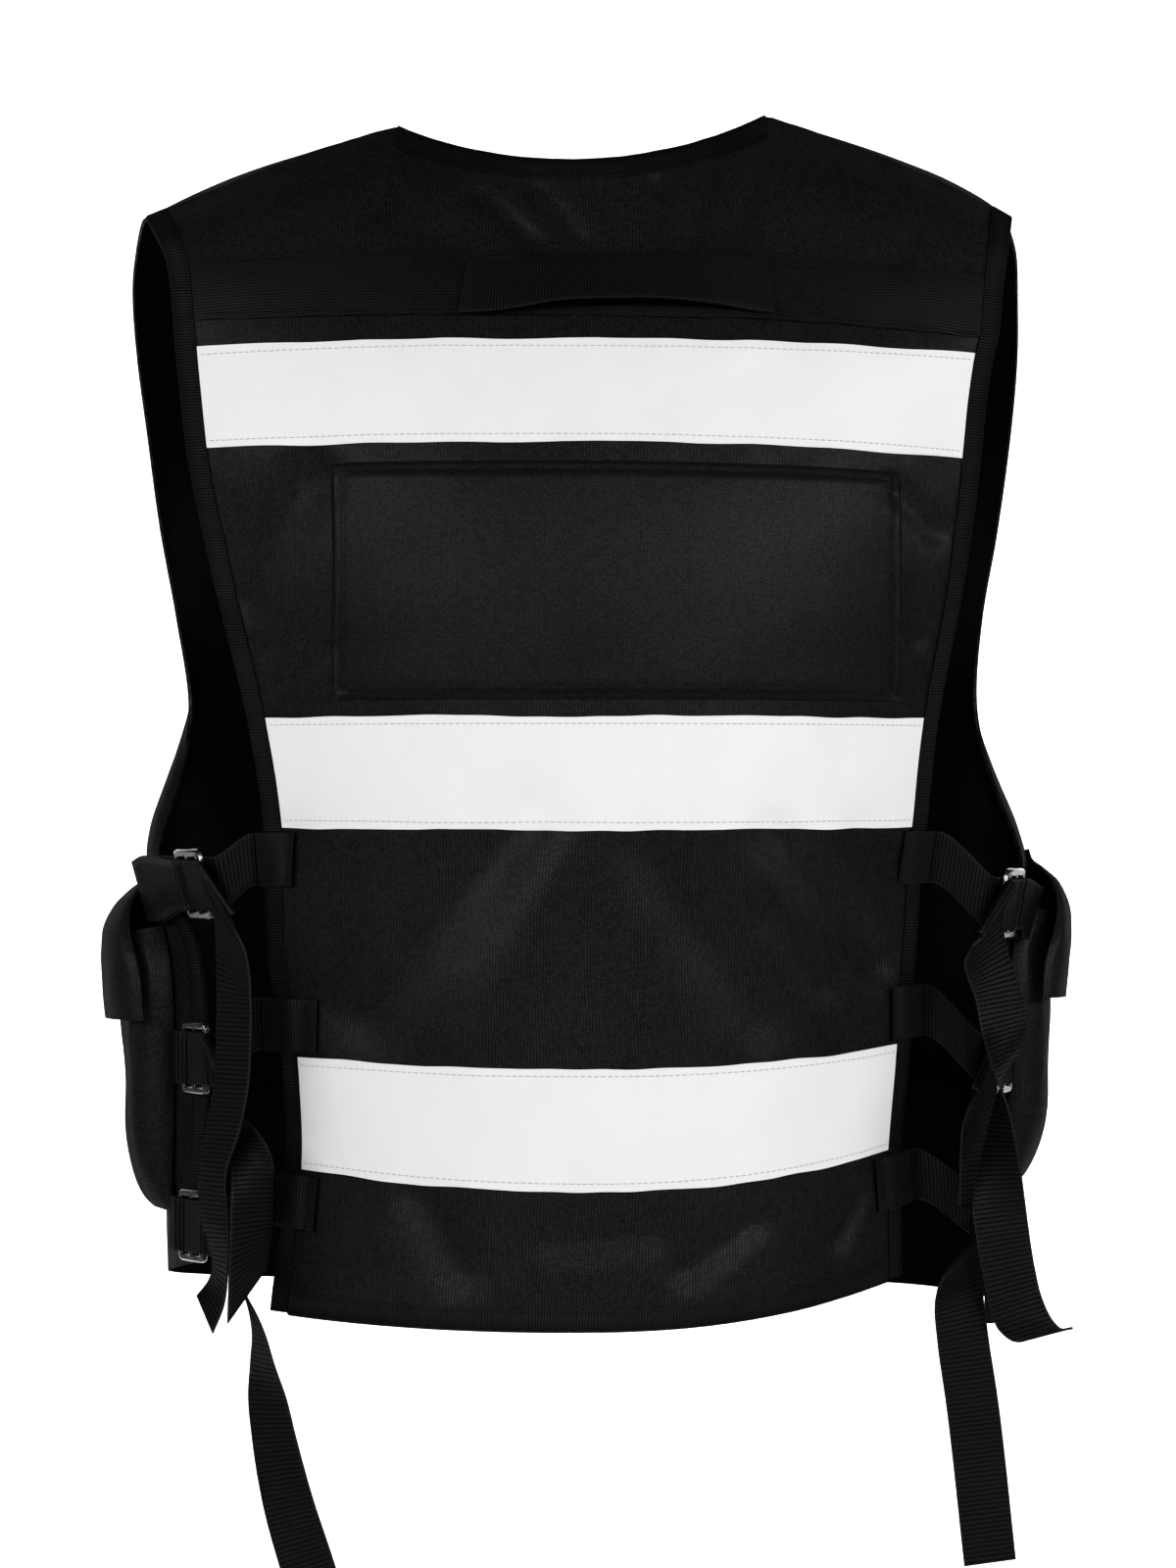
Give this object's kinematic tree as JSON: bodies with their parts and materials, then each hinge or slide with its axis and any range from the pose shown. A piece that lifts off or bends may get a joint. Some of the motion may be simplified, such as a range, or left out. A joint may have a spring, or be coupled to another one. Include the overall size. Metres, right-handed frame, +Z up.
{
  "type": "tactical vest",
  "caption": "Black sleeveless work and duty vest with white reflective back strips, drag handle, side adjusting straps and pockets.",
  "frame": {"origin": "between the wearer's shoulders, in the plane of the shoulder seams and level with the back neckline", "axes": "+Z up, -Y out of the vest's back, +X towards the wearer's right shoulder, as seen from behind"},
  "size_m": [0.4731, 0.2304, 0.7019],
  "materials": {
    "canvas": "matt black woven canvas",
    "webbing": "matt black ribbed webbing",
    "binding": "matt black ribbed binding tape",
    "reflective": "smooth white reflective tape",
    "plastic": "glossy black moulded plastic"
  },
  "bodies": {
    "root": {"back_panel": "canvas", "front_panel_left": "canvas", "front_panel_right": "canvas", "patch_panel": "canvas", "pocket_left": "canvas", "pocket_right": "canvas", "pocket_flap_left": "canvas", "pocket_flap_right": "canvas", "front_zip": "webbing", "neck_binding_back": "binding", "armhole_binding_left": "binding", "armhole_binding_right": "binding", "front_edge_binding_left": "binding", "front_edge_binding_right": "binding", "hem_binding": "binding", "reflective_strip_upper": "reflective", "reflective_strip_middle": "reflective", "reflective_strip_lower": "reflective", "front_strip_left": "reflective", "front_strip_right": "reflective", "shoulder_webbing": "webbing", "drag_handle": "webbing", "strap_tab_left_top": "webbing", "strap_tab_left_middle": "webbing", "strap_tab_left_bottom": "webbing", "strap_tab_right_top": "webbing", "strap_tab_right_middle": "webbing", "strap_tab_right_bottom": "webbing", "side_strap_left_top": "webbing", "side_strap_left_middle": "webbing", "side_strap_left_bottom": "webbing", "side_strap_right_top": "webbing", "side_strap_right_middle": "webbing", "side_strap_right_bottom": "webbing", "buckle_loop_left_top": "webbing", "buckle_loop_left_middle": "webbing", "buckle_loop_left_bottom": "webbing", "buckle_loop_right_top": "webbing", "buckle_loop_right_middle": "webbing", "buckle_loop_right_bottom": "webbing", "buckle_left_top": "plastic", "buckle_left_middle": "plastic", "buckle_left_bottom": "plastic", "buckle_right_top": "plastic", "buckle_right_middle": "plastic", "buckle_right_bottom": "plastic"}
  },
  "joints": []
}
